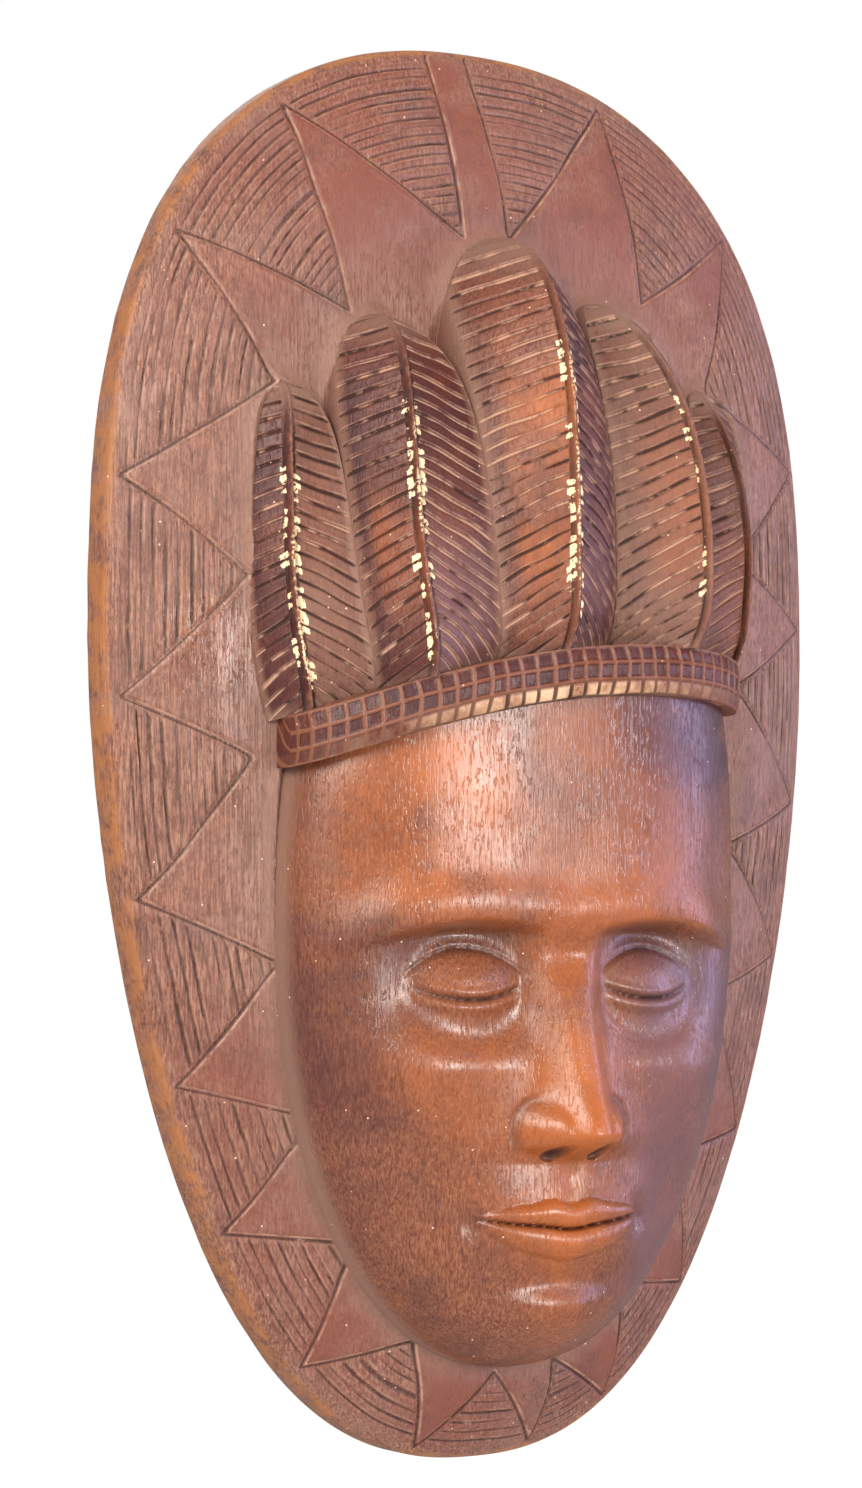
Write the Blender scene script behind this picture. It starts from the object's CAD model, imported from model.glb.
"""Looks of the carved wooden wall mask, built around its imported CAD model.

Lengths are in millimetres until a mesh is made. A height is measured from the back
plane, so a point at height h lies at y = -h, as in the CAD source. Every carved piece
is a fine grid worked out here, with its cuts in the mesh and with masks that tell its
material where the wood is cut, dusty, polished or gilded.
"""

import math

import bpy
import numpy as np
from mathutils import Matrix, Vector
from mathutils.geometry import tessellate_polygon


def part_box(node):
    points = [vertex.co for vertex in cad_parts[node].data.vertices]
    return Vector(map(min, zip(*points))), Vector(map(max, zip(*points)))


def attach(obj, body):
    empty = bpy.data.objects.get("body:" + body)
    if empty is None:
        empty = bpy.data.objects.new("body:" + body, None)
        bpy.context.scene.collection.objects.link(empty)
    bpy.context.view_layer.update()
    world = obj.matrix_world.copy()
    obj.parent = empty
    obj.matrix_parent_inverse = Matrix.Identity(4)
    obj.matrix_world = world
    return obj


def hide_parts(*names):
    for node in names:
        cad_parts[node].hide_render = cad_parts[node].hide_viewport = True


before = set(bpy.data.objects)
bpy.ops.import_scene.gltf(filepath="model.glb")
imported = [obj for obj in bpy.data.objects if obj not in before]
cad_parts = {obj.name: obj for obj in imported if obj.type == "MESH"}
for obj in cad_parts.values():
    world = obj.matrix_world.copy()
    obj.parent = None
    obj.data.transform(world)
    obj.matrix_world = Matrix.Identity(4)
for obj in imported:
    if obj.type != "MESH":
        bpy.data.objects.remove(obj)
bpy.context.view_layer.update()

MM = 0.001


def box_mm(node):
    low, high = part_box(node)
    return np.array(low) / MM, np.array(high) / MM


# ---- Sizes: the driving ones come from the frame ----

board_low, board_high = box_mm("oval_board")
face_low, face_high = box_mm("face")
band_high = box_mm("headband")[1]
plate_low, plate_high = box_mm("hanger_plate")

HALF_W = board_high[0]
TOP_Z = board_high[2]
MIDDLE_H = -board_low[1]
RIM_H = 8.5
DOME_POWER = 1.6
TOP_CURVE = (2.8, 2.24)
BOTTOM_CURVE = (1.75, 2.41)
# Width of the domed border at the sides, at the top and at the bottom
BORDER_SIDE, BORDER_TOP, BORDER_BOTTOM = 27, 42, 19

HEAD_HALF = face_high[0]
CHIN_Z = face_low[2]
HEAD_L = 152
FOREHEAD_H = 50
# Powers that round the head off from side to side
HEAD_POWER, HEAD_ROOT = 2.4, 2.2
NOSE_H = -face_low[1]
HAIRLINE_Z = CHIN_Z + HEAD_L
THIRD = HEAD_L / 3
BROW_Z = HAIRLINE_Z - THIRD
NOSE_Z = HAIRLINE_Z - 2 * THIRD
MOUTH_Z = NOSE_Z - THIRD / 3
EYE_Z = BROW_Z - THIRD / 4
EYE_X = 2 * HEAD_HALF / 5

BAND_W = 11.5
BAND_T = 3
BAND_MID_Z = HAIRLINE_Z + BAND_W / 2
BAND_ARCH = 8.5
BAND_SLANT = 15.5

# Valleys between the feathers, from left to right: [x, height at the headband, z where it
# runs out on the board, how late it falls]
VALLEYS = (
    (-68, 22.5, 78, 1),
    (-48, 40, 93, 1.3),
    (-18.5, 48.5, 108, 2.2),
    (15.5, 46, 116, 3),
    (50, 37, 96, 2.2),
    (70, 22.5, 86, 1),
)
# Feathers, from left to right: [rib x, tip x, rib height at the headband, share of it lost
# on the way to the tip, how late the tip rounds off]
FEATHERS = {
    "feather_far_left": (-62, -60, 33, 0.45, 10),
    "feather_left": (-39, -36, 53, 0.42, 8),
    "feather_centre": (-3, -2, 57, 0, 4),
    "feather_right": (36, 25, 56, 0.1, 3),
    "feather_far_right": (63, 56, 35.5, 0.1, 3.2),
}
# Each feather's left and right flank: how dark its stain is, how rubbed it is, how much
# pale dust fills its cuts, how dusty it is, how lilac its lower half is, and how gilded
FEATHER_TONES = {
    "feather_far_left": ((1.0, 0.0), (0.15, 0.2), (0.32, 0.26), (0.0, 0.65), (0.0, 0.0), (1.1, 1.2)),
    "feather_left": ((0.8, 0.75), (0.35, 0.1), (0.2, 0.5), (0.0, 0.0), (0.0, 0.6), (1.3, 1.1)),
    "feather_centre": ((0.0, 0.8), (1.3, 0.15), (0.32, 0.4), (0.2, 0.0), (0.0, 0.2), (1.3, 1.0)),
    "feather_right": ((0.1, 0.6), (0.4, 0.1), (0.3, 0.35), (0.65, 0.2), (0.0, 0.2), (0.8, 0.3)),
    "feather_far_right": ((0.4, 0.5), (0.25, 0.1), (0.4, 0.35), (0.3, 0.2), (0.0, 0.2), (0.1, 0.1)),
}
WAIST = 0.07
WAIST_H = 35
HATCH_PITCH = 2.3
BARB_PITCH = 3.2
CELL_PITCH = 4.1

# The border's zigzag, as angles round the board in degrees: each ray's outer tip, and the
# notch between it and the next ray; the wide ray has no tip and runs off the rim
RAYS = (3, 20, 49, 74, 95, 117, 139, 166, 185, 199, 213, 226, 242, 262, 276, 289, 306, 322, 337, 349)
WIDE_RAY = 95
NOTCHES = (12, 40, 61, 89, 96, 123, 145, 175, 191, 207, 221, 235, 252, 269, 279, 297, 314, 330, 343, 356)


# ---- Number helpers ----


def ease(x):
    t = np.clip(x, 0, 1)
    return t * t * (3 - 2 * t)


def mix(a, b, t):
    return a * (1 - t) + b * t


def bump(x, width):
    return np.exp(-((x / width) ** 2))


def groove(distance, width):
    """1 on a cut's middle line, falling to 0 at its edges."""
    return np.clip(1 - np.abs(distance) / (width / 2), 0, 1)


def noise(x, y, cell, seed):
    """Smooth noise from -1 to 1, with features about as large as cell."""
    table = np.random.default_rng(seed).uniform(-1, 1, (61, 67))
    gx, gy = x / cell + 1000, y / cell + 1000
    ix, iy = np.floor(gx).astype(int), np.floor(gy).astype(int)
    fx, fy = ease(gx - ix), ease(gy - iy)

    def at(i, j):
        return table[(ix + i) % 61, (iy + j) % 67]

    return mix(mix(at(0, 0), at(1, 0), fx), mix(at(0, 1), at(1, 1), fx), fy)


def power_arc(u, curve):
    return np.maximum(0, 1 - np.abs(u) ** curve[0]) ** (1 / curve[1])


class Egg:
    """An egg-shaped outline: half width, z where it is widest, top z and bottom z."""

    def __init__(self, half, wide_z, top_z, bottom_z, curves=(TOP_CURVE, BOTTOM_CURVE)):
        self.half, self.wide_z, self.top_z, self.bottom_z = half, wide_z, top_z, bottom_z
        self.curves = curves

    def width(self, z):
        up = (z - self.wide_z) / (self.top_z - self.wide_z)
        down = (self.wide_z - z) / (self.wide_z - self.bottom_z)
        upper = power_arc(np.clip(up, 0, 1), self.curves[0])
        lower = power_arc(np.clip(down, 0, 1), self.curves[1])
        return self.half * np.where(z > self.wide_z, upper, lower)

    def point(self, a):
        reach = np.where(np.sin(a) > 0, self.top_z - self.wide_z, self.wide_z - self.bottom_z)
        z = self.wide_z + np.sin(a) * reach
        return np.sign(np.cos(a)) * self.width(z), z


RIM = Egg(HALF_W, TOP_Z * 0.15, TOP_Z, -TOP_Z)
MIDDLE = Egg(HALF_W - BORDER_SIDE, TOP_Z * 0.17, TOP_Z - BORDER_TOP, BORDER_BOTTOM - TOP_Z)
HEAD = Egg(HEAD_HALF, -35, 60, CHIN_Z, (TOP_CURVE, (2, 2.2)))


def board_point(a, t):
    """A point at share t of the way from the rim, 0, to the flat middle, 1, and beyond."""
    (x0, z0), (x1, z1) = RIM.point(a), MIDDLE.point(a)
    return mix(x0, x1, t), mix(z0, z1, t)


def dome_h(t):
    return RIM_H + (MIDDLE_H - RIM_H) * (1 - (1 - np.clip(t, 0, 1)) ** DOME_POWER)


def band_z(x):
    u = x / HEAD_HALF
    return BAND_MID_Z + BAND_SLANT / 2 * u - BAND_ARCH * u * u


def head_round(x):
    return np.maximum(0, 1 - (np.abs(x) / HEAD_HALF) ** HEAD_POWER) ** (1 / HEAD_ROOT)


# ---- Meshes ----


def make_piece(name, points, faces, masks, body="mask", sharp=55):
    """A mesh from (x, height, z) points in millimetres, with one float attribute a mask."""
    mesh = bpy.data.meshes.new(name)
    points = np.asarray(points, float)
    coords = np.column_stack([points[:, 0], -points[:, 1], points[:, 2]]) * MM
    mesh.from_pydata(coords.tolist(), [], faces)
    mesh.update()
    for key, values in masks.items():
        full = np.zeros(len(points), np.float32)
        full[: values.size] = values.ravel()
        mesh.attributes.new(key, "FLOAT", "POINT").data.foreach_set("value", full)
    mesh.shade_smooth()
    mesh.set_sharp_from_angle(angle=math.radians(sharp))
    piece = bpy.data.objects.new(name, mesh)
    bpy.context.scene.collection.objects.link(piece)
    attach(piece, body)
    return piece


def grid_quads(rows, columns):
    index = np.arange(rows * columns).reshape(rows, columns)
    corners = (index[:-1, :-1], index[:-1, 1:], index[1:, 1:], index[1:, :-1])
    return np.stack(corners, -1).reshape(-1, 4).tolist()


def relief(name, x, h, z, masks, foot_h):
    """A closed solid between a grid of front points, rows from low to high, and foot_h."""
    rows, columns = x.shape
    front = np.column_stack([x.ravel(), h.ravel(), z.ravel()])
    index = np.arange(rows * columns).reshape(rows, columns)
    rim = np.concatenate([index[0, :-1], index[:-1, -1], index[-1, :0:-1], index[:0:-1, 0]])
    foot = front[rim]
    foot[:, 1] = foot_h
    low = len(front) + np.arange(len(rim))
    walls = np.stack([rim, low, np.roll(low, -1), np.roll(rim, -1)], -1)
    faces = grid_quads(rows, columns) + walls.tolist() + [low[::-1].tolist()]
    return make_piece(name, np.vstack([front, foot]), faces, masks)


# ---- The board ----


def distance_to_lines(x, z, starts, ends, reach):
    """Distance from each point to the nearest of some line segments, up to reach."""
    nearest = np.full(x.shape, float(reach))
    for (x0, z0), (x1, z1) in zip(starts, ends):
        if (x0, z0) == (x1, z1):
            continue
        near = (
            (x > min(x0, x1) - reach)
            & (x < max(x0, x1) + reach)
            & (z > min(z0, z1) - reach)
            & (z < max(z0, z1) + reach)
        )
        px, pz = x[near], z[near]
        dx, dz = x1 - x0, z1 - z0
        along = np.clip(((px - x0) * dx + (pz - z0) * dz) / (dx * dx + dz * dz), 0, 1)
        away = np.hypot(px - x0 - along * dx, pz - z0 - along * dz)
        nearest[near] = np.minimum(nearest[near], away)
    return nearest


def inside(x, z, corners):
    """Which points lie inside a polygon."""
    hit = np.zeros(x.shape, bool)
    for (x0, z0), (x1, z1) in zip(corners, np.roll(corners, -1, axis=0)):
        crosses = (z0 > z) != (z1 > z)
        with np.errstate(divide="ignore", invalid="ignore"):
            hit ^= crosses & (x < (x1 - x0) * (z - z0) / (z1 - z0) + x0)
    return hit


def relief_outline():
    """The outline of the head and crown on the board, once round."""
    z = np.linspace(CHIN_Z, band_z(HEAD_HALF), 60)
    right = [(float(HEAD.width(v)), v) for v in z[1:]]
    left = [(-px, pz) for px, pz in right[::-1] if pz < band_z(-HEAD_HALF)]
    crown = []
    names = list(FEATHERS)
    for k in range(len(names) - 1, -1, -1):
        low, high = box_mm(names[k])
        tip_x = FEATHERS[names[k]][1]
        base_z = band_z(tip_x) + BAND_W / 2
        for share in np.linspace(-1, 1, 25):
            t = 1 - abs(share) * 0.45
            spread = math.sqrt(max(0, 1 - t**9))
            edge = VALLEYS[k + 1][0] if share < 0 else VALLEYS[k][0]
            crown.append((tip_x + (edge - tip_x) * spread, mix(base_z, high[2], t)))
    return right + crown + left


def ray_lines():
    """The zigzag's corners in order round the board: ray tip, notch, ray tip, ..."""
    corners = []
    for ray, notch in zip(RAYS, NOTCHES):
        corners.append(board_point(math.radians(ray), -6 if ray == WIDE_RAY else 0.09))
        corners.append(board_point(math.radians(notch), 1.1 if not 110 < notch < 130 else 1.28))
    return [(float(px), float(pz)) for px, pz in corners]


def even_angles(count):
    """Angles whose points are evenly spaced round the rim."""
    a = np.linspace(0, 2 * math.pi, 7201)
    x, z = RIM.point(a)
    run = np.concatenate([[0], np.cumsum(np.hypot(np.diff(x), np.diff(z)))])
    return np.interp((np.arange(count) + 0.5) / count * run[-1], run, a)


def board_surface(columns, rings, last_t):
    """The board's front from the rim inwards: a grid of points with its masks."""
    a = even_angles(columns)
    coarse = 12
    fine = np.linspace(0.05, 1.12, rings - coarse, endpoint=False)
    t = np.concatenate([fine, np.linspace(1.12, last_t, coarse)])[:, None] * np.ones(columns)
    a = np.ones((rings, 1)) * a
    x, z = board_point(a, t)
    (x0, z0), (x1, z1) = board_point(a, 0 * t), board_point(a, 0 * t + 1)
    from_rim = np.hypot(x1 - x0, z1 - z0) * t * 0.96

    corners = ray_lines()
    ends = corners[1:] + corners[:1]
    wobbly = x + 0.5 * noise(x, z, 14, 1)
    hatched = np.zeros(x.shape)
    phase = np.zeros(x.shape)
    for k in range(len(RAYS)):
        tip, notch = corners[2 * k], corners[2 * k + 1]
        after = corners[(2 * k + 2) % len(corners)]
        out = [np.array(p) * 1.3 for p in (after, tip)]
        found = inside(wobbly, z, np.array([notch, after, *out, tip]))
        hatched[found] = 1
        phase[found] = k * 0.37
    line = distance_to_lines(wobbly, z, corners, ends, 4) * (1 - 2 * hatched)
    ray = np.clip(0.85 + 0.4 * noise(x, z, 9, 9), 0.35, 1.1)
    lip = bump(line - 1.15, 0.35)

    lane = from_rim / HATCH_PITCH + phase + 0.16 * noise(x, z, 26, 2) + 0.06 * noise(x, z, 6, 3)
    lane += 0.35 * noise(from_rim, 40 * phase, 3.4, 10)
    depth = np.clip(0.8 + 0.65 * noise(x + 31 * np.floor(lane), z, 12, 4), 0, 1.1) * hatched
    depth *= ease((-line - 0.5) / 0.7) * ease((from_rim - 2.0) / 3)
    hatch = groove((lane % 1 - 0.5) * HATCH_PITCH, 1.1) * depth

    outline = relief_outline()
    foot = distance_to_lines(x, z, outline, outline[1:] + outline[:1], 9)
    fillet = np.clip(1 - foot / 4.5, 0, 1) ** 2.2
    h = dome_h(t) + 1.6 * fillet
    h += 0.16 * noise(x, z, 17, 5) + 0.06 * noise(x, z, 6, 6)
    h += 0.2 * lip - 0.9 * ray * groove(line, 1.6) ** 0.8 - 0.6 * hatch
    far_from_middle = np.clip(ease((z - 60) / 70) + ease((-z - 35) / 60), 0, 1)
    masks = {
        "line": line,
        "ray": ray,
        "lane": lane,
        "depth": depth,
        "sawn": mix(0.35 + 0.35 * bump(x + 75, 30), 0.9, hatched),
        "red": mix(1, 0.65, hatched) * ease(from_rim / 5) * far_from_middle,
        "dust": bump(foot, 4.0),
        "edge": 1 - ease((from_rim - 0.5 - 0.5 * noise(x, z, 11, 8)) / 1.2),
        "polish": bump(x + 77, 10) * bump(z - 20, 17),
    }
    return x, h, z, masks


def ring_of(a, t, h):
    x, z = board_point(a, t)
    return np.column_stack([x, np.full(len(a), h), z])


def stadium(half, low_z, high_z, count):
    """A slot's outline: two half circles of one width, joined by straight sides."""
    turn = np.linspace(0, math.pi, count)
    top = [(half * math.cos(v), high_z + half * math.sin(v)) for v in turn]
    bottom = [(-half * math.cos(v), low_z - half * math.sin(v)) for v in turn]
    return top + bottom


def circle(radius, mid_z, count):
    turn = np.arange(count) * 2 * math.pi / count
    return [(radius * math.cos(v), mid_z + radius * math.sin(v)) for v in turn]


class Solid:
    """Points and faces of a mesh that is put together loop by loop."""

    def __init__(self, points, faces):
        self.points, self.faces = list(points), faces

    def loop(self, outline, h):
        start = len(self.points)
        self.points += [(px, h, pz) for px, pz in outline]
        return list(range(start, start + len(outline)))

    def wall(self, outer, inner):
        """Quads between two loops that run the same way round."""
        for i in range(len(outer)):
            j = (i + 1) % len(outer)
            self.faces.append([outer[i], outer[j], inner[j], inner[i]])

    def flat(self, outer, holes=()):
        """Faces the region between an outline and its holes, seen from behind."""
        loops = [outer, *holes]
        rings = [[Vector((self.points[i][0], self.points[i][2], 0)) for i in ring] for ring in loops]
        order = [i for ring in loops for i in ring]
        for tri in tessellate_polygon(rings):
            a, b, c = (order[i] for i in tri)
            (ax, _, az), (bx, _, bz), (cx, _, cz) = (self.points[i] for i in (a, b, c))
            left_turn = (bx - ax) * (cz - az) - (bz - az) * (cx - ax) > 0
            self.faces.append([a, c, b] if left_turn else [a, b, c])


def oval_board():
    columns, rings, last_t = 1016, 88, 1.42
    x, h, z, masks = board_surface(columns, rings, last_t)
    a = even_angles(columns)
    # Rows go up in this order: back, back edge, side, rounded front edge, the carved front
    back_edge = [(0.07, 0), (0.03, 0), (0.012, 0.5), (0, 1.4), (0, 4)]
    front_edge = [(0, RIM_H - 1.6), (0.006, RIM_H - 0.7), (0.022, RIM_H + 0.1)]
    edge = back_edge + front_edge
    side = np.vstack([ring_of(a, t, v) for t, v in edge])
    rough = 0.2 * noise(side[:, 0] + side[:, 1] * 3, side[:, 2], 9, 7)
    side[:, 0] -= np.where(side[:, 1] > 0, np.abs(rough) * np.sign(side[:, 0]), 0)
    front = np.column_stack([x.ravel(), h.ravel(), z.ravel()])
    points = np.vstack([side, front])
    rows = len(edge) + rings
    index = np.arange(rows * columns).reshape(rows, columns)
    around = np.roll(index, -1, axis=1)
    quads = np.stack([index[:-1], index[1:], around[1:], around[:-1]], -1).reshape(-1, 4)
    solid = Solid(points.tolist(), quads.tolist())

    solid.points.append((0, MIDDLE_H, 0))
    middle, last = len(solid.points) - 1, index[-1]
    solid.faces += [[int(last[i]), middle, int(last[(i + 1) % columns])] for i in range(columns)]

    # The back, with the hanger's pocket and the well behind the ring
    pocket_d, pocket_half, well_r, well_d = 5.5, 13, 10, 12
    low_z, high_z = plate_low[2] + 1.5, plate_high[2] + 2.49
    slot = stadium(pocket_half, low_z, high_z, 24)
    lip = stadium(pocket_half + 0.5, low_z, high_z, 24)
    brim = solid.loop(lip, 0)
    mouth = solid.loop(slot, 0.5)
    floor = solid.loop(slot, pocket_d)
    well_top = solid.loop(circle(well_r, high_z, 48), pocket_d)
    well_low = solid.loop(circle(well_r, high_z, 48), well_d)
    solid.flat(index[0].tolist(), [brim])
    solid.wall(brim[::-1], mouth[::-1])
    solid.wall(mouth[::-1], floor[::-1])
    solid.flat(floor, [well_top])
    solid.wall(well_top[::-1], well_low[::-1])
    solid.flat(well_low)

    plain = {key: np.zeros(len(solid.points)) for key in masks}
    for key, grid in masks.items():
        plain[key][len(side) : len(side) + grid.size] = grid.ravel()
    plain["edge"][columns : len(side)] = 1
    plain["sawn"][: len(side)] = 0.8
    plain["sawn"][len(points) :] = 0.8
    piece = make_piece("board_carved", solid.points, solid.faces, plain)
    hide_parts("oval_board")
    return piece


# ---- The head ----


def eyelid_line(x):
    """Where a closed upper lid meets the lower one, as z, for x from the eye's middle."""
    return EYE_Z - 4.2 + 2.6 * (x / 12.5) ** 2


def face_features(x, z):
    """Height that the features add to the plain head, and their cuts."""
    ax = np.abs(x)
    side = ax - EYE_X
    add = np.zeros(x.shape)

    # Brow: full above, with a firm lower edge that arches over each eye
    brow = BROW_Z + 1.5 - 3.2 * ((ax - 23) / 23) ** 2
    under = ease((brow - z) / 3.6)
    add += 1.6 * bump(z - brow - 3, 6) * ease((58 - ax) / 16)

    # Sockets fade out into the cheek
    reach = ease((z - EYE_Z + 20) / 18)
    across = bump(side / 17, 1) * ease((ax - 4) / 8)
    add -= 8.5 * under * reach * across

    # Eyeball under closed lids
    ball = np.clip(1 - (side / 16.5) ** 2 - ((z - EYE_Z + 1.5) / 13) ** 2, 0, 1)
    add += 6.8 * ball**2.1
    lash = z - eyelid_line(side)
    near = np.clip(1 - (side / 12.8) ** 2, 0, 1) ** 0.5
    lid_cut = groove(lash, 1.7) * near
    add -= 1.0 * lid_cut
    add += 0.6 * bump(lash - 1.5, 1.0) * near + 0.7 * bump(lash + 2.0, 1.1) * near
    crease_line = z - EYE_Z - 7.2 + 4.6 * (side / 13) ** 2
    crease = groove(crease_line, 2.0) * np.clip(1 - (side / 15) ** 2, 0, 1) ** 0.6
    add -= 0.9 * crease

    # Nose: a ridge that rises and widens from its root to its tip
    down = np.clip((BROW_Z - 3 - z) / (BROW_Z - 3 - NOSE_Z), 0, 1.12)
    ridge = mix(0.0, NOSE_H - FOREHEAD_H + 2.2, np.clip(down, 0, 1) ** 1.2)
    half = mix(4.6, 7.2, ease(down * 1.05))
    start = ease((BROW_Z + 4 - z) / 9)
    stop = ease((z - NOSE_Z + 2.8) / 7) ** 0.8
    wall = 1 / (1 + (ax / half) ** 3.2)
    add += ridge * start * stop * wall - 3.0 * bump(z - BROW_Z + 7, 6) * bump(x, 8)
    add += 1.5 * bump(x, 6) * bump(z - NOSE_Z - 6, 6)
    wing_r = ((ax - 9.2) / 4.7) ** 2 + ((z - NOSE_Z - 4.6) / 5.4) ** 2
    add += 4.6 * np.exp(-(wing_r**1.3)) * ease((ax - 2) / 6) * ease((z - NOSE_Z + 1.5) / 3)
    wing_cut = bump(np.sqrt(wing_r) - 1.3, 0.2) * ease((ax - 8) / 4) * ease((z - NOSE_Z + 1) / 4)
    add -= 0.8 * wing_cut
    nostril = np.clip(1 - ((ax - 5.8) / 3.0) ** 2 - ((z - NOSE_Z + 0.4) / 2.0) ** 2, 0, 1)
    add -= 2.6 * nostril**0.7

    # Muzzle, philtrum and lips
    add += 3.0 * bump(x, 21) * bump(z - MOUTH_Z - 1, 14)
    add -= 0.8 * bump(x, 2.6) * bump(z - MOUTH_Z - 10.5, 4)
    mouth_half = 22.0
    mouth_x = np.clip(1 - (x / mouth_half) ** 2, 0, 1)
    parting = z - MOUTH_Z + 0.7 * bump(x, 5) - 2.0 * (x / mouth_half) ** 2
    upper_h = (5.4 + 1.0 * bump(ax - 5, 3.5)) * mouth_x**0.7 + 0.05
    lower_h = 7.2 * mouth_x**0.6 + 0.05
    upper = np.clip(1 - ((parting - upper_h / 2) / (upper_h / 2)) ** 2, 0, 1) ** 0.6
    lower = np.clip(1 - ((parting + lower_h / 2) / (lower_h / 2)) ** 2, 0, 1) ** 0.6
    add += 2.3 * upper * mouth_x**0.6 + 2.7 * lower * mouth_x**0.6
    lip_cut = groove(parting, 1.3) * mouth_x**0.4
    add -= 0.9 * lip_cut
    add -= 1.5 * bump(ax - mouth_half - 0.5, 2.6) * bump(z - MOUTH_Z - 1, 3.2)
    add -= 2.8 * bump(x, 16) * bump(z - MOUTH_Z + 13, 4)

    # Chin, cheekbones, temples and the hollow of each cheek
    add += 5.0 * bump(x, 14) * bump(z - CHIN_Z - 14, 9)
    add += 2.6 * bump(ax - 37, 13) * bump(z - NOSE_Z - 19, 12)
    add -= 1.8 * bump(ax - 50, 9) * bump(z - BROW_Z - 12, 14)
    add -= 3.0 * bump(ax - 33, 11) * bump(z - MOUTH_Z - 3, 15)
    cut = np.maximum.reduce([0.9 * lid_cut, 0.4 * crease, 0.7 * lip_cut, 0.4 * wing_cut, nostril])
    return add, cut


def face():
    rows, columns = 360, 264
    top_z = BAND_MID_Z - BAND_W / 2
    v = 1 - np.linspace(0.045, 1, rows) ** 1.35
    v = v / v.max() * 0.9985
    v = v[:, None] * np.ones(columns)
    turn = np.linspace(-90, 90, columns)
    u = np.sin(np.radians(turn - 12 * np.sin(np.radians(2 * turn))))
    u = np.ones((rows, 1)) * u
    width = HEAD.width(mix(top_z, CHIN_Z, v))
    x = u * width
    z = mix(band_z(u * HEAD.width(top_z)) - BAND_W / 2 + 2.2, CHIN_Z, v)
    rise = FOREHEAD_H - MIDDLE_H - 0.6 - 3 * ease((v - 0.3) / 0.5)
    arch = np.maximum(0, 1 - np.abs(u) ** HEAD_POWER) ** (1 / HEAD_ROOT)
    end = np.sqrt(np.maximum(0, 1 - v**9))
    h = MIDDLE_H + rise * arch * end
    soft = np.sqrt(np.maximum(0, 1 - np.abs(u) ** 5)) * end**0.5
    add, cut = face_features(x, z)
    h += soft * add
    h += soft * (0.12 * noise(x, z, 13, 11) + 0.05 * noise(x, z, 5, 12))
    high = ease((h - 41) / 9)
    upper_right = bump(x - 36, 24) * bump(z - HAIRLINE_Z + 3, 16)
    upper_left = bump(x + 40, 17) * ease((z - BROW_Z) / 8)
    right_side = 0.75 * ease((x - 12) / 16) * ease((BROW_Z - z) / 12)
    left_edge = 0.2 * bump(x + width, 9)
    hollow = ease((BROW_Z + 2 - z) / 5) * ease((44 - h) / 5) * ease((z - NOSE_Z) / 12)
    left_cheek = bump(x + 34, 13) * bump(z - NOSE_Z - 14, 15) * (0.6 + 0.4 * noise(x, z, 8, 14))
    rubbed = 0.55 * high * (1 - 0.9 * upper_right) * (1 - 0.8 * right_side)
    rubbed += 0.6 * upper_left + 0.4 * left_cheek
    masks = {
        "cut": cut,
        "dust": bump((1 - np.abs(u)) * width, 0.9) + 0.5 * bump(v * HEAD_L, 1.0),
        "polish": np.clip(rubbed + 0.3 * bump(x, 9) * ease((BROW_Z - z) / 9), 0, 1),
        "stain": np.clip(2.2 * upper_right + 0.85 * right_side + 0.4 * hollow + left_edge, 0, 1),
        "lilac": 0.7 * right_side,
    }
    piece = relief("face_carved", x, h, z, masks, MIDDLE_H - 3)
    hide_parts("face")
    return piece


# ---- The headband ----


def headband():
    rows, columns = 44, 430
    half = band_high[0]
    fine_x = half * np.sin(np.linspace(-math.pi / 2, math.pi / 2, 4001))
    fine_h = (FOREHEAD_H - MIDDLE_H) * head_round(fine_x)
    run = np.concatenate([[0], np.cumsum(np.hypot(np.diff(fine_x), np.diff(fine_h)))])
    s = np.linspace(0, run[-1], columns)
    x = np.interp(s, run, fine_x) * np.ones((rows, 1))
    s = s * np.ones((rows, 1))
    v = np.linspace(0, 1, rows)[:, None] * np.ones(columns)
    z = band_z(x) + BAND_W * (v - 0.5) + 0.35 * noise(s, v, 12, 21) * np.sin(math.pi * v)
    crown = np.maximum(0, 1 - np.abs(2 * v - 1) ** 2.6) ** 0.8

    lane = s / CELL_PITCH + 0.13 * noise(s, v * 10, 6, 22)
    level = v * 3 + 0.05 * noise(s, v, 8, 23) + 0.5
    upright = groove((lane % 1 - 0.5) * CELL_PITCH, 1.3)
    cross = groove((level % 1 - 0.5) * BAND_W / 3, 1.2)
    line = np.maximum(upright, cross) ** 0.7
    low_row = ease((0.33 - v) * 9)
    lit = low_row * bump((s / run[-1] - 0.47) / 0.24, 1) ** 0.8
    raised = line * np.clip(0.85 + 0.4 * noise(s, v * 10, 5, 24), 0.3, 1.1)
    h = MIDDLE_H + BAND_T - 1.3 + 1.4 * crown + (FOREHEAD_H - MIDDLE_H) * head_round(x)
    h += mix(0.8 * raised - 0.4, 0.15 - 0.85 * line, lit)
    masks = {
        "lane": lane,
        "level": level,
        "lit": lit,
        "dust": 0.4 * ease((v - 0.93) * 20),
        "polish": 0.5 * lit,
        "stain": (1 - lit) * (0.75 + 0.35 * noise(s, v * 10, 20, 26)),
    }
    piece = relief("headband_carved", x, h, z, masks, MIDDLE_H - 3)
    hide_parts("headband")
    return piece


# ---- The feathers ----


def valley_rise(valley, z, start_z):
    u = np.clip((z - start_z) / (valley[2] - start_z), 0, 1)
    return (valley[1] - MIDDLE_H) * (1 - u ** valley[3])


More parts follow.
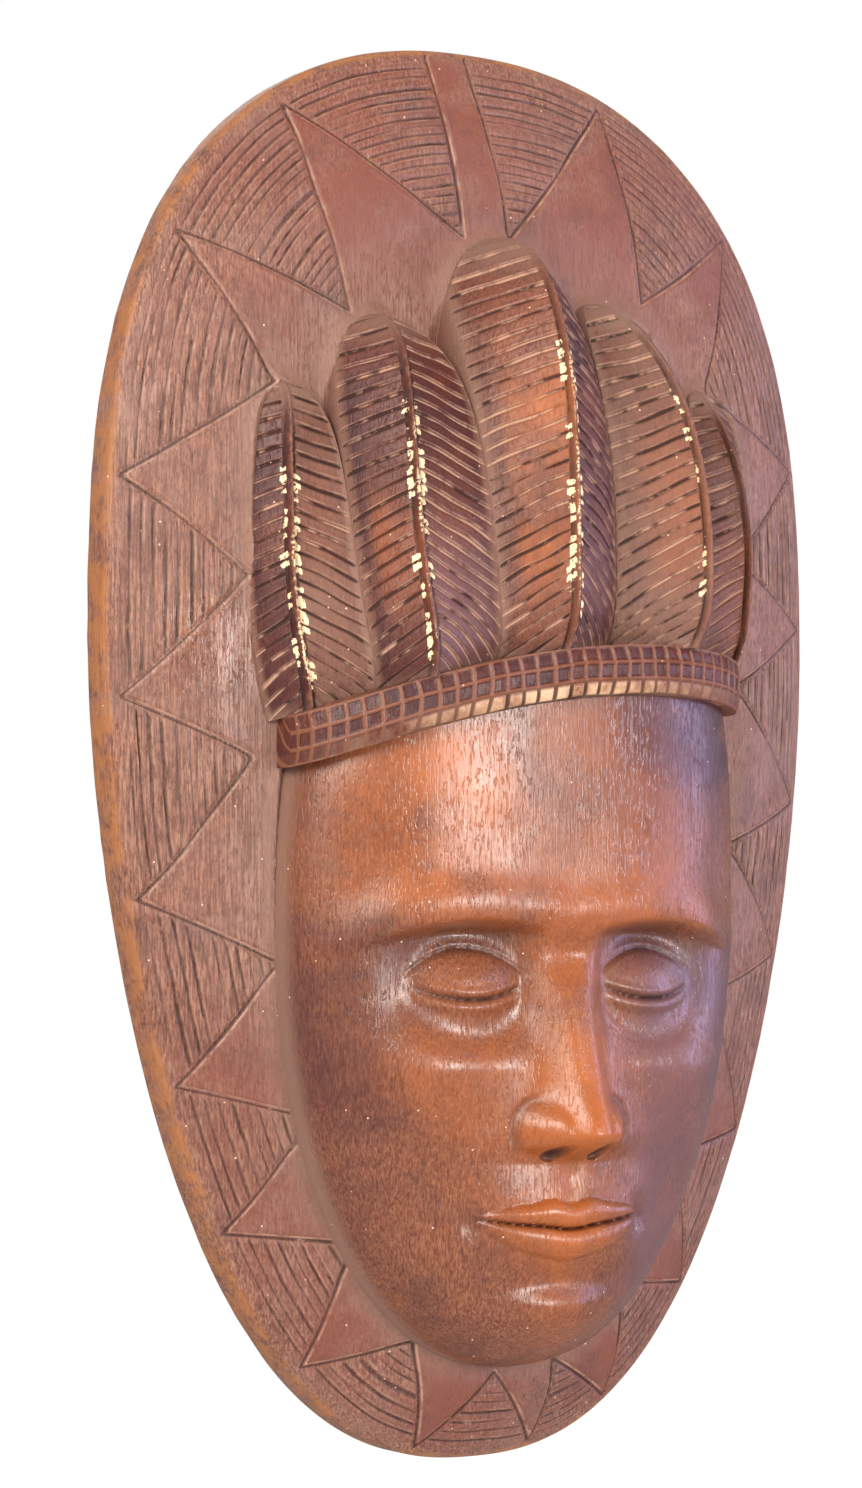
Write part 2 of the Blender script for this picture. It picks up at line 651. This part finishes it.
def feather(index, name):
    rows, columns = 320, 121
    rib_x, tip_x, rib_h, lost, late = FEATHERS[name]
    tip_z = box_mm(name)[1][2]
    t = (1 - np.linspace(1, 0.002, rows) ** 1.35)[:, None] * np.ones(columns)
    c = np.linspace(0, 2, columns) * np.ones((rows, 1))
    f = 1 - np.abs(c - 1)
    on_left = c < 1
    edge_x = np.where(on_left, VALLEYS[index][0], VALLEYS[index + 1][0])
    spread = np.sqrt(1 - t**9)
    leaning = mix(edge_x, rib_x, f) + (tip_x - rib_x) * t**4 * f
    spread_x = tip_x + (leaning - tip_x) * spread
    start_z = band_z(spread_x * (1 - WAIST)) + BAND_W / 2 - 0.3
    z = mix(start_z, tip_z, t)
    x = spread_x * (1 - WAIST * (1 - np.clip((z - start_z) / WAIST_H, 0, 1)) ** 2)

    rib = (rib_h - MIDDLE_H) * (1 - lost * t) * np.sqrt(1 - t**late)
    left = valley_rise(VALLEYS[index], z, start_z)
    right = valley_rise(VALLEYS[index + 1], z, start_z)
    edge = np.where(on_left, left, right) * np.sqrt(1 - t**12)
    rise = mix(edge, rib, f**0.8)
    rise *= 1 - 0.13 * (1 - np.clip(t / 0.14, 0, 1)) ** 2

    # Distance over the surface from the rib, row by row
    step = np.hypot(np.diff(x, axis=1), np.diff(rise, axis=1))
    run = np.concatenate([np.zeros((rows, 1)), np.cumsum(step, axis=1)], axis=1)
    away = np.abs(run - run[:, columns // 2][:, None])
    kept = ease((0.93 - t) * 8) * np.clip(0.9 + 0.5 * noise(x, z, 7, 56), 0.2, 1)
    stem = np.sqrt(np.clip(1 - (away / 0.75) ** 2, 0, 1)) * kept
    beside = bump(away - 1.1, 0.35) * kept
    rise -= 1.05 * ease((away - 0.2) / 0.85) * spread

    # Barbs slope down and away from the rib, less steeply towards the tip
    slope = np.tan(np.radians(mix(36, 10, t**0.8)))
    lane = (z + slope * away) / BARB_PITCH + 0.16 * noise(x, z, 8, 31 + index)
    lane += 0.3 * index + np.where(on_left, 0, 0.5)
    barb_row = np.floor(lane)
    side = np.where(on_left, 0, 500)
    off = (lane - barb_row - 0.5) * BARB_PITCH * np.cos(np.arctan(slope))
    shown = ease((away - 1.25) / 0.4) * ease(f * 22) * ease((1 - t) * 30)
    depth = shown * np.clip(0.85 + 0.6 * noise(x + side, barb_row * 7, 5, 51 + index), 0.2, 1)
    nick = groove(off, 1.3) * stem
    rise -= 0.22 * nick
    rise += 0.12 * bump(off - 0.85, 0.3) * shown - 0.62 * groove(off, 1.2) * depth - 0.5 * beside * spread
    tilt = ((lane + 0.5) % 1 - 0.5) * shown
    rise += 0.10 * noise(x, z, 9, 61 + index) + 0.14 * tilt

    # The inner ends of some barbs keep flecks of gilding, and the rib keeps a little
    stain, glow, fill, dusty, lilac, gilded = (
        np.where(on_left, tone[0], tone[1]) for tone in FEATHER_TONES[name])
    gate = np.clip(noise(barb_row * 9 + side, 0 * x, 5, 71 + index) * 1.8 + 0.75, 0, 1) * gilded
    reach = 2.1 + 0.8 * noise(barb_row * 5, side, 4, 76)
    ends = ease((away - 0.7) / 0.15) * ease((reach - away) / 0.3)
    rubbed = ease(t * 9) * ease((0.8 - t) * 6)
    gilt = ends * gate * (1 - groove(off, 1.5)) * rubbed + 0.35 * stem * rubbed * gilded
    cloud = noise(x, z, 15, 81 + index)
    glow = glow * bump(t - 0.42, 0.3) * (1 - 0.3 * cloud)
    crease = (1 - ease(f * 7)) * 0.85 + 0.7 * bump(z - start_z, 1.8)
    masks = {
        "lane": lane,
        "depth": depth,
        "fill": fill + 0.25 * noise(x, z, 9, 91 + index),
        "cut": beside,
        "dust": np.clip(crease + ease((t - 0.86) * 8) * 0.8 + dusty * (0.8 + 0.4 * cloud), 0, 1),
        "polish": np.clip(glow, 0, 1) * ease((f - 0.12) * 4),
        "stain": np.clip(stain + 0.3 * cloud, 0, 1) * ease(f * 6) * (1 - 0.6 * ease((t - 0.75) * 4)),
        "lilac": lilac * ease((0.55 - t) * 3) * ease(f * 5),
        "gilt": gilt,
        "rib": stem - 0.7 * nick,
    }
    h = MIDDLE_H + np.maximum(rise, -1.0)
    piece = relief(name + "_carved", x, h, z, masks, MIDDLE_H - 3)
    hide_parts(name)
    return piece


# ---- Materials ----


class Tree:
    """A material's node tree, with short calls for adding linked nodes."""

    def __init__(self, name):
        self.material = bpy.data.materials.new(name)
        self.material.use_nodes = True
        self.nodes = self.material.node_tree.nodes
        self.links = self.material.node_tree.links
        self.shader = self.nodes["Principled BSDF"]

    def put(self, socket, value):
        if isinstance(value, bpy.types.NodeSocket):
            self.links.new(value, socket)
        else:
            socket.default_value = value

    def add(self, kind, inputs=None, output=0, **settings):
        made = self.nodes.new("ShaderNode" + kind)
        for key, value in settings.items():
            setattr(made, key, value)
        for key, value in (inputs or {}).items():
            self.put(made.inputs[key], value)
        return made.outputs[output]

    def math(self, operation, a, b=0.0):
        return self.add("Math", {0: a, 1: b}, operation=operation)

    def scaled(self, value, share):
        return self.math("MULTIPLY", value, share)

    def ramp(self, value, low, high, clamp=True):
        """0 below low, 1 above high."""
        return self.add("MapRange", {0: value, 1: low, 2: high}, clamp=clamp)

    def blend(self, share, a, b, mode="MIX"):
        made = self.nodes.new("ShaderNodeMix")
        made.data_type, made.blend_type = "RGBA", mode
        for key, value in (("Factor_Float", share), ("A_Color", a), ("B_Color", b)):
            socket = next(s for s in made.inputs if s.identifier == key)
            self.put(socket, value)
        return next(s for s in made.outputs if s.identifier == "Result_Color")

    def mask(self, name):
        return self.add("Attribute", output=2, attribute_name=name, attribute_type="GEOMETRY")

    def offset(self, name, pitch):
        """Distance in millimetres from the nearest of the lines that a mask counts."""
        share = self.math("SUBTRACT", self.math("FRACT", self.mask(name)), 0.5)
        return self.scaled(share, pitch)

    def place(self, stretch):
        """Object coordinates, squeezed along each axis."""
        where = self.add("TexCoord", output=3)
        return self.add("Mapping", {0: where, 3: stretch})

    def noise(self, place, scale, detail=3.0, rough=0.55):
        return self.add("TexNoise", {"Vector": place, "Scale": scale, "Detail": detail, "Roughness": rough})

    def finish(self, colour, roughness, normal, **plain):
        self.put(self.shader.inputs["Base Color"], colour)
        self.put(self.shader.inputs["Roughness"], roughness)
        self.put(self.shader.inputs["Normal"], normal)
        for key, value in plain.items():
            self.shader.inputs[key.replace("_", " ")].default_value = value
        return self.material


def rgb(red, green, blue):
    return (red, green, blue, 1.0)


DUST = rgb(0.205, 0.110, 0.078)
HAZE = rgb(0.190, 0.100, 0.078)
CUT_DARK = rgb(0.022, 0.007, 0.005)
CUT_PALE = rgb(0.380, 0.210, 0.140)
STAIN = rgb(0.042, 0.010, 0.013)
SMUDGE = rgb(0.074, 0.028, 0.024)
LILAC = rgb(0.185, 0.095, 0.110)
RED = rgb(0.152, 0.038, 0.022)
GLOW = rgb(0.370, 0.088, 0.008)
OCHRE = rgb(0.285, 0.102, 0.026)
GILT = rgb(0.750, 0.560, 0.340)
CREAM = rgb(0.520, 0.320, 0.185)
SPECK = rgb(0.520, 0.350, 0.260)


class WoodLook:
    """Colours and finish of one stretch of the wood."""

    def __init__(self, light, main, dark, warm, gloss, matt):
        self.light, self.main, self.dark, self.warm = light, main, dark, warm
        self.gloss, self.matt = gloss, matt


class Grain:
    """The grain's colour and the patterns that other layers reuse."""

    def __init__(self, tree, look, fibrous):
        along = tree.place((1.0, 1.0, 0.03))
        short = tree.place((1.0, 1.0, 0.25))
        self.even = tree.place((1.0, 1.0, 1.0))
        streak = tree.noise(along, 2000.0, 2.0, 0.5)
        mottle = tree.noise(short, 2300.0, 3.0, 0.7)
        pore = tree.ramp(tree.noise(short, 1500.0, 2.0, 0.5), 0.57, 0.66)
        cloud = tree.noise(self.even, 22.0, 4.0, 0.6)
        self.patch = tree.noise(self.even, 80.0, 5.0, 0.7)
        fibre = tree.math("MULTIPLY", tree.ramp(streak, 0.55, 0.64), fibrous)
        bright = tree.math("MULTIPLY", tree.ramp(streak, 0.48, 0.38), fibrous)
        colour = tree.blend(tree.ramp(cloud, 0.38, 0.64), look.main, look.warm)
        colour = tree.blend(tree.scaled(bright, 0.8), colour, look.light)
        colour = tree.blend(tree.scaled(tree.ramp(mottle, 0.5, 0.32), 0.5), colour, look.light)
        colour = tree.blend(tree.scaled(tree.ramp(self.patch, 0.5, 0.7), 0.5), colour, look.dark)
        colour = tree.blend(tree.scaled(tree.ramp(mottle, 0.5, 0.66), 0.6), colour, look.dark)
        colour = tree.blend(tree.scaled(fibre, 0.6), colour, look.dark)
        self.colour = tree.blend(tree.scaled(pore, 0.5), colour, look.dark)
        self.rough = tree.add("MapRange", {0: self.patch, 1: 0.3, 2: 0.7, 3: look.gloss, 4: look.matt})
        height = tree.math("SUBTRACT", tree.scaled(mottle, 0.8), fibre)
        height = tree.math("SUBTRACT", height, tree.scaled(pore, 1.2))
        self.height = tree.math("ADD", height, tree.scaled(self.patch, 1.2))

    def normal(self, tree, strength, cut):
        height = tree.math("SUBTRACT", self.height, tree.scaled(cut, 1.5))
        return tree.add("Bump", {"Strength": strength, "Distance": 0.0003, "Height": height})


def engraved(tree, off, width, depth):
    """A cut's dark core and the burr on one side of it, from the distance to its middle."""
    half = tree.scaled(depth, width / 2)
    core = tree.ramp(tree.math("SUBTRACT", half, tree.math("ABSOLUTE", off)), -0.06, 0.16)
    core = tree.math("MULTIPLY", core, tree.ramp(depth, 0.05, 0.35))
    beside = tree.math("ABSOLUTE", tree.math("SUBTRACT", off, 0.8 * width))
    burr = tree.math("MULTIPLY", tree.ramp(beside, 0.35 * width, 0.1 * width), depth)
    return core, burr


def with_specks(tree, grain, colour):
    """Sparse pale specks of dust and bare wood."""
    cells = tree.nodes.new("ShaderNodeTexVoronoi")
    cells.inputs["Scale"].default_value = 300.0
    tree.links.new(grain.even, cells.inputs["Vector"])
    near = tree.math("LESS_THAN", cells.outputs["Distance"], 0.065)
    rare = tree.math("GREATER_THAN", tree.add("SeparateColor", {0: cells.outputs["Color"]}), 0.7)
    return tree.blend(tree.math("MULTIPLY", near, rare), colour, SPECK)


def with_cuts(tree, grain, colour, cut, burr, fill):
    """Cuts are dark where the wood is bare and pale where dust has filled them."""
    broken = tree.noise(grain.even, 240.0, 3.0)
    filled = tree.ramp(tree.math("ADD", broken, fill), 0.75, 0.95)
    colour = tree.blend(tree.scaled(cut, 0.9), colour, tree.blend(filled, CUT_DARK, CUT_PALE))
    pale = tree.math("MULTIPLY", burr, tree.ramp(broken, 0.36, 0.6))
    return tree.blend(tree.scaled(pale, 0.7), colour, CUT_PALE)


def board_wood(look):
    tree = Tree("board_wood")
    grain = Grain(tree, look, tree.mask("sawn"))
    haze = tree.ramp(tree.noise(grain.even, 34.0, 5.0, 0.7), 0.45, 0.66)
    colour = tree.blend(tree.scaled(haze, 0.5), grain.colour, HAZE)
    red = tree.ramp(tree.noise(grain.even, 48.0, 5.0, 0.65), 0.32, 0.56)
    red = tree.math("MULTIPLY", red, tree.mask("red"))
    colour = tree.blend(tree.scaled(red, 0.8), colour, RED)
    smudge = tree.ramp(tree.noise(grain.even, 64.0, 6.0, 0.75), 0.52, 0.74)
    colour = tree.blend(tree.scaled(smudge, 0.62), colour, SMUDGE)
    chips = tree.ramp(tree.noise(grain.even, 170.0, 5.0, 0.7), 0.6, 0.44)
    worn = tree.math("MULTIPLY", tree.mask("edge"), chips)
    colour = tree.blend(tree.scaled(worn, 0.8), colour, OCHRE)
    colour = tree.blend(tree.scaled(tree.mask("dust"), 0.55), colour, DUST)
    hatch, hatch_burr = engraved(tree, tree.offset("lane", HATCH_PITCH), 0.7, tree.mask("depth"))
    ray, ray_burr = engraved(tree, tree.mask("line"), 0.75, tree.mask("ray"))
    cut = tree.math("MAXIMUM", tree.scaled(hatch, 0.65), tree.scaled(ray, 0.75))
    burr = tree.math("MAXIMUM", tree.scaled(hatch_burr, 0.5), ray_burr)
    colour = with_cuts(tree, grain, colour, cut, burr, 0.12)
    colour = with_specks(tree, grain, colour)
    rough = tree.math("SUBTRACT", grain.rough, tree.scaled(tree.mask("polish"), 0.31))
    return tree.finish(colour, rough, grain.normal(tree, 0.4, cut), Specular_IOR_Level=0.45)


class Relief:
    """The stained, rubbed and dusty wood that the head, the band and the feathers share."""

    def __init__(self, name, look):
        self.tree = tree = Tree(name)
        self.grain = grain = Grain(tree, look, 0.3)
        mottle = tree.ramp(tree.noise(grain.even, 42.0, 5.0, 0.65), 0.3, 0.62)
        stained = tree.math("MULTIPLY", tree.mask("stain"), tree.ramp(grain.patch, 0.15, 0.5))
        colour = tree.blend(tree.scaled(stained, 0.9), grain.colour, STAIN)
        shine = tree.math("MULTIPLY", tree.mask("polish"), mottle)
        colour = tree.blend(tree.scaled(shine, 0.85), colour, GLOW)
        self.colour = tree.blend(tree.scaled(tree.mask("dust"), 0.75), colour, DUST)

    def finish(self, colour, cut, specular, bump_strength):
        tree, grain = self.tree, self.grain
        colour = with_specks(tree, grain, colour)
        matt = tree.math("MAXIMUM", tree.mask("dust"), cut)
        rough = tree.math("ADD", grain.rough, tree.scaled(matt, 0.3))
        return tree.finish(colour, rough, grain.normal(tree, bump_strength, cut), Specular_IOR_Level=specular)


def face_wood(look):
    wood = Relief("face_wood", look)
    tree, cut = wood.tree, wood.tree.mask("cut")
    colour = tree.blend(tree.scaled(tree.mask("lilac"), 0.6), wood.colour, LILAC)
    colour = with_cuts(tree, wood.grain, colour, cut, 0.0, 0.0)
    return wood.finish(colour, cut, 0.62, 0.26)


def band_wood(look):
    """Two rows of sunken dark cells between pale ridges, over a row of pale cells."""
    wood = Relief("band_wood", look)
    tree = wood.tree
    upright, _ = engraved(tree, tree.offset("lane", CELL_PITCH), 1.1, 1.0)
    cross, _ = engraved(tree, tree.offset("level", BAND_W / 3), 1.0, 1.0)
    line = tree.math("MAXIMUM", upright, cross)
    lit = tree.mask("lit")
    worn = tree.ramp(wood.grain.patch, 0.35, 0.55)
    cell = tree.blend(tree.math("MULTIPLY", lit, worn), wood.colour, CREAM)
    ridge = tree.blend(lit, look.light, CUT_DARK)
    colour = tree.blend(tree.scaled(line, 0.85), cell, ridge)
    return wood.finish(colour, tree.math("MULTIPLY", line, lit), 0.4, 0.35)


def feather_wood(look):
    wood = Relief("feather_wood", look)
    tree, grain = wood.tree, wood.grain
    colour = tree.blend(tree.scaled(tree.mask("lilac"), 0.5), wood.colour, LILAC)
    barb, burr = engraved(tree, tree.offset("lane", BARB_PITCH * 0.9), 0.7, tree.mask("depth"))
    burr = tree.math("MULTIPLY", burr, 0.8)
    colour = with_cuts(tree, grain, colour, barb, burr, tree.mask("fill"))
    colour = tree.blend(tree.scaled(tree.mask("cut"), 0.8), colour, CUT_DARK)
    worn_rib = tree.ramp(tree.noise(grain.even, 420.0, 3.0), 0.45, 0.6)
    colour = tree.blend(tree.math("MULTIPLY", tree.mask("rib"), worn_rib), colour, look.light)
    fleck = tree.ramp(tree.noise(grain.even, 1300.0, 3.0), 0.3, 0.55)
    flake = tree.ramp(tree.math("MULTIPLY", tree.mask("gilt"), fleck), 0.28, 0.42)
    colour = tree.blend(flake, colour, GILT)
    return wood.finish(colour, tree.math("MAXIMUM", barb, tree.mask("cut")), 0.4, 0.4)


def metal(name, colour, worn, rough):
    """Plated metal with fine drawn scratches and dull patches."""
    tree = Tree(name)
    fine = tree.noise(tree.place((1.0, 1.0, 0.12)), 2400.0, 3.0)
    patch = tree.noise(tree.place((1, 1, 1)), 260.0, 4.0)
    shade = tree.blend(tree.ramp(patch, 0.45, 0.7), colour, worn)
    dull = tree.add("MapRange", {0: patch, 1: 0.35, 2: 0.7, 3: rough, 4: rough + 0.25})
    normal = tree.add("Bump", {"Strength": 0.25, "Distance": 0.00005, "Height": fine})
    return tree.finish(shade, dull, normal, Metallic=1.0)


def paint(piece, material):
    piece.data.materials.clear()
    piece.data.materials.append(material)


def paint_cad(node, material):
    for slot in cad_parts[node].material_slots:
        slot.material = material


# ---- Stage ----


def floor():
    """A wide pale floor well below the mask, which hangs."""
    mesh = bpy.data.meshes.new("floor")
    size, level = 40.0, -0.6
    corners = [(-size, -size, level), (size, -size, level), (size, size, level), (-size, size, level)]
    mesh.from_pydata(corners, [], [(0, 1, 2, 3)])
    ground = bpy.data.objects.new("floor", mesh)
    bpy.context.scene.collection.objects.link(ground)
    tree = Tree("floor_plain")
    tree.shader.inputs["Base Color"].default_value = rgb(1.0, 1.0, 1.0)
    tree.shader.inputs["Roughness"].default_value = 1.0
    tree.shader.inputs["Specular IOR Level"].default_value = 0.0
    mesh.materials.append(tree.material)
    ground.visible_glossy = False


def aim(thing, target):
    away = thing.location - Vector(target)
    thing.rotation_euler = away.to_track_quat("Z", "Y").to_euler()


def lamp(name, place, size, power, colour):
    data = bpy.data.lights.new(name, "AREA")
    data.shape, data.size, data.size_y = "RECTANGLE", size[0], size[1]
    data.energy, data.color = power, colour
    light = bpy.data.objects.new(name, data)
    light.location = place
    bpy.context.scene.collection.objects.link(light)
    aim(light, (0, 0, 0))


def lamp_at(azimuth, elevation, distance):
    """A place seen from the mask's middle; azimuth 0 is straight ahead of it, 90 its right."""
    a, e = math.radians(azimuth), math.radians(elevation)
    return Vector((math.sin(a) * math.cos(e), -math.cos(a) * math.cos(e), math.sin(e))) * distance


def lights():
    lamp("front", lamp_at(16, 5, 2.0), (0.3, 0.5), 24.0, (1.0, 0.98, 0.95))
    lamp("left", lamp_at(-60, 28, 1.5), (0.8, 0.8), 26.0, (1.0, 0.94, 0.86))
    lamp("right", lamp_at(72, 8, 2.2), (0.35, 1.5), 20.0, (0.60, 0.58, 1.0))
    lamp("back", lamp_at(160, 30, 2.4), (1.6, 1.6), 16.0, (1.0, 0.98, 0.95))
    world = bpy.data.worlds.new("studio")
    bpy.context.scene.world = world
    world.use_nodes = True
    tree = world.node_tree
    background = tree.nodes["Background"]
    background.inputs["Color"].default_value = rgb(1.0, 1.0, 1.0)
    # The white sweep is dimmer in reflections, where the dark room in front of it shows
    path = tree.nodes.new("ShaderNodeLightPath")
    sweep = tree.nodes.new("ShaderNodeMapRange")
    sweep.inputs["To Min"].default_value = 1.0
    sweep.inputs["To Max"].default_value = 0.3
    tree.links.new(path.outputs["Is Glossy Ray"], sweep.inputs["Value"])
    tree.links.new(sweep.outputs[0], background.inputs["Strength"])
    bpy.context.scene.view_settings.view_transform = "Standard"


def camera():
    """Looks from the mask's left, a little below its middle."""
    azimuth, elevation, distance = math.radians(-33), math.radians(-3), 2.6 * 2 * TOP_Z * MM
    back = Vector((math.sin(azimuth) * math.cos(elevation), -math.cos(azimuth) * math.cos(elevation),
                   math.sin(elevation)))
    data = bpy.data.cameras.new("camera")
    data.lens, data.sensor_width = 87.6, 36
    view = bpy.data.objects.new("camera", data)
    bpy.context.scene.collection.objects.link(view)
    view.location = back * distance
    right = back.cross(Vector((0, 0, -1))).normalized()
    aim(view, -0.0054 * right + Vector((0, 0, 0.0014)))
    bpy.context.scene.camera = view


# ---- Putting it together ----


def build():
    camera()
    board_look = WoodLook(
        light=rgb(0.290, 0.145, 0.092), main=rgb(0.180, 0.072, 0.045), dark=rgb(0.062, 0.020, 0.013),
        warm=rgb(0.180, 0.060, 0.036), gloss=0.36, matt=0.60)
    face_look = WoodLook(
        light=rgb(0.270, 0.115, 0.060), main=rgb(0.135, 0.040, 0.020), dark=rgb(0.050, 0.012, 0.008),
        warm=rgb(0.175, 0.050, 0.018), gloss=0.24, matt=0.38)
    crown_look = WoodLook(
        light=rgb(0.180, 0.062, 0.032), main=rgb(0.092, 0.020, 0.010), dark=rgb(0.030, 0.007, 0.006),
        warm=rgb(0.125, 0.024, 0.010), gloss=0.34, matt=0.52)
    paint(oval_board(), board_wood(board_look))
    paint(face(), face_wood(face_look))
    paint(headband(), band_wood(crown_look))
    crown_wood = feather_wood(crown_look)
    for index, name in enumerate(FEATHERS):
        paint(feather(index, name), crown_wood)
    paint_cad("hanger_plate", metal("strap_brass", rgb(0.62, 0.45, 0.20), rgb(0.36, 0.25, 0.12), 0.32))
    paint_cad("hanger_ring", metal("ring_steel", rgb(0.60, 0.58, 0.55), rgb(0.36, 0.34, 0.31), 0.26))
    paint_cad("hanger_screws", metal("screw_steel", rgb(0.62, 0.58, 0.48), rgb(0.34, 0.30, 0.24), 0.30))
    floor()
    lights()


build()
